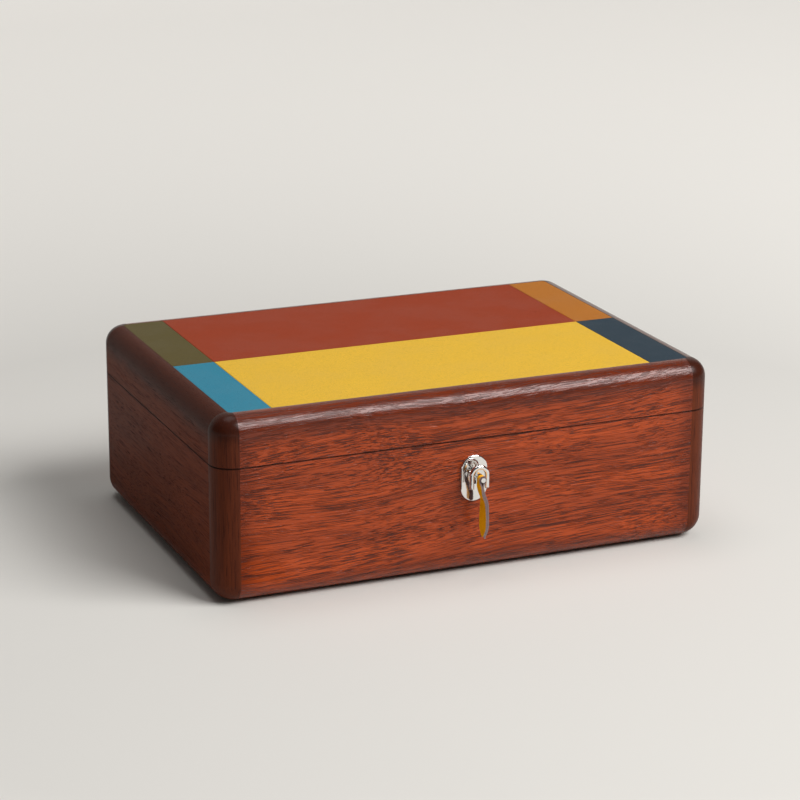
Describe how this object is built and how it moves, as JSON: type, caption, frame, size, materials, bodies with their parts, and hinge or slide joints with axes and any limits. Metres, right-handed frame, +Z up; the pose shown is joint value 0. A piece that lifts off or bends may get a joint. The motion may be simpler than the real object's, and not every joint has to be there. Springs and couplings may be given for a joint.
{
  "type": "keepsake box",
  "caption": "Rectangular hinged-lid wooden box with rounded edges, inlaid leather top and a lock with its key.",
  "frame": {"origin": "middle of the underside, on the face of the pad that the box rests on", "axes": "+X along the front to the right, +Y from the front to the hinges at the back, +Z up"},
  "size_m": [0.33, 0.2451, 0.118],
  "materials": {
    "wood_panel": "satin lacquered, straight dark-pored grain along the piece",
    "wood_post": "satin lacquered, upright grain",
    "wood_board": "plain, sealed",
    "lining_leather": "soft suede",
    "pad_felt": "short pile felt",
    "leather_olive": "fine grain",
    "leather_teal": "fine grain",
    "leather_red": "fine grain",
    "leather_yellow": "fine grain",
    "leather_tan": "fine grain",
    "leather_navy": "fine grain",
    "strap_leather": "smooth calf, raw edges",
    "bright_metal": "polished",
    "hinge_metal": "satin",
    "screw_metal": "satin",
    "lock_metal": "brushed"
  },
  "bodies": {
    "base": {"base_lining_back": "lining_leather", "base_lining_floor": "lining_leather", "base_lining_front": "lining_leather", "base_lining_left": "lining_leather", "base_lining_right": "lining_leather", "base_post_back_left": "wood_post", "base_post_back_right": "wood_post", "base_post_front_left": "wood_post", "base_post_front_right": "wood_post", "base_wall_back": "wood_panel", "base_wall_front": "wood_panel", "base_wall_left": "wood_panel", "base_wall_right": "wood_panel", "bottom_board": "wood_board", "foot_pad": "pad_felt", "hinge_left_base_leaf": "hinge_metal", "hinge_left_pin": "hinge_metal", "hinge_right_base_leaf": "hinge_metal", "hinge_right_pin": "hinge_metal", "hinge_screws_base": "screw_metal", "key_post": "lock_metal", "keyhole_plate": "bright_metal", "lock_case": "lock_metal", "lock_cover": "lock_metal", "lock_pillars": "lock_metal", "lock_screws": "screw_metal", "lock_spring": "lock_metal", "lock_top_plate": "lock_metal"},
    "lid": {"hinge_left_lid_leaf": "hinge_metal", "hinge_right_lid_leaf": "hinge_metal", "hinge_screws_lid": "screw_metal", "leather_back_left": "leather_olive", "leather_back_middle": "leather_red", "leather_back_right": "leather_tan", "leather_front_left": "leather_teal", "leather_front_middle": "leather_yellow", "leather_front_right": "leather_navy", "lid_board": "wood_board", "lid_lining_back": "lining_leather", "lid_lining_front": "lining_leather", "lid_lining_left": "lining_leather", "lid_lining_right": "lining_leather", "lid_lining_top": "lining_leather", "lid_post_back_left": "wood_post", "lid_post_back_right": "wood_post", "lid_post_front_left": "wood_post", "lid_post_front_right": "wood_post", "lid_strike": "lock_metal", "lid_wall_back": "wood_panel", "lid_wall_front": "wood_panel", "lid_wall_left": "wood_panel", "lid_wall_right": "wood_panel", "strike_screws": "screw_metal"},
    "key": {"key": "bright_metal"},
    "strap": {"key_strap": "strap_leather"},
    "bolt": {"lock_bolt": "lock_metal"}
  },
  "joints": [
    {"name": "lid_hinge", "type": "hinge", "parent": "base", "child": "lid", "pos_m": [0, 0.112, 0.0868], "axis": [-1, 0, 0], "range_deg": [0, 95]},
    {"name": "key_turn", "type": "hinge", "parent": "base", "child": "key", "pos_m": [0, -0.105, 0.0648], "axis": [0, 1, 0], "range_deg": [0, 90]},
    {"name": "bolt_slide", "type": "slide", "parent": "base", "child": "bolt", "axis": [-1, 0, 0], "range_m": [0, 0.004]},
    {"name": "strap_swing", "type": "hinge", "parent": "key", "child": "strap", "pos_m": [0, -0.1271, 0.0648], "axis": [0, 1, 0], "range_deg": [-100, 100]}
  ],
  "couplings": [
    {"joint": "key_turn", "follows": "bolt_slide", "rad_per_m": 392.6}
  ]
}
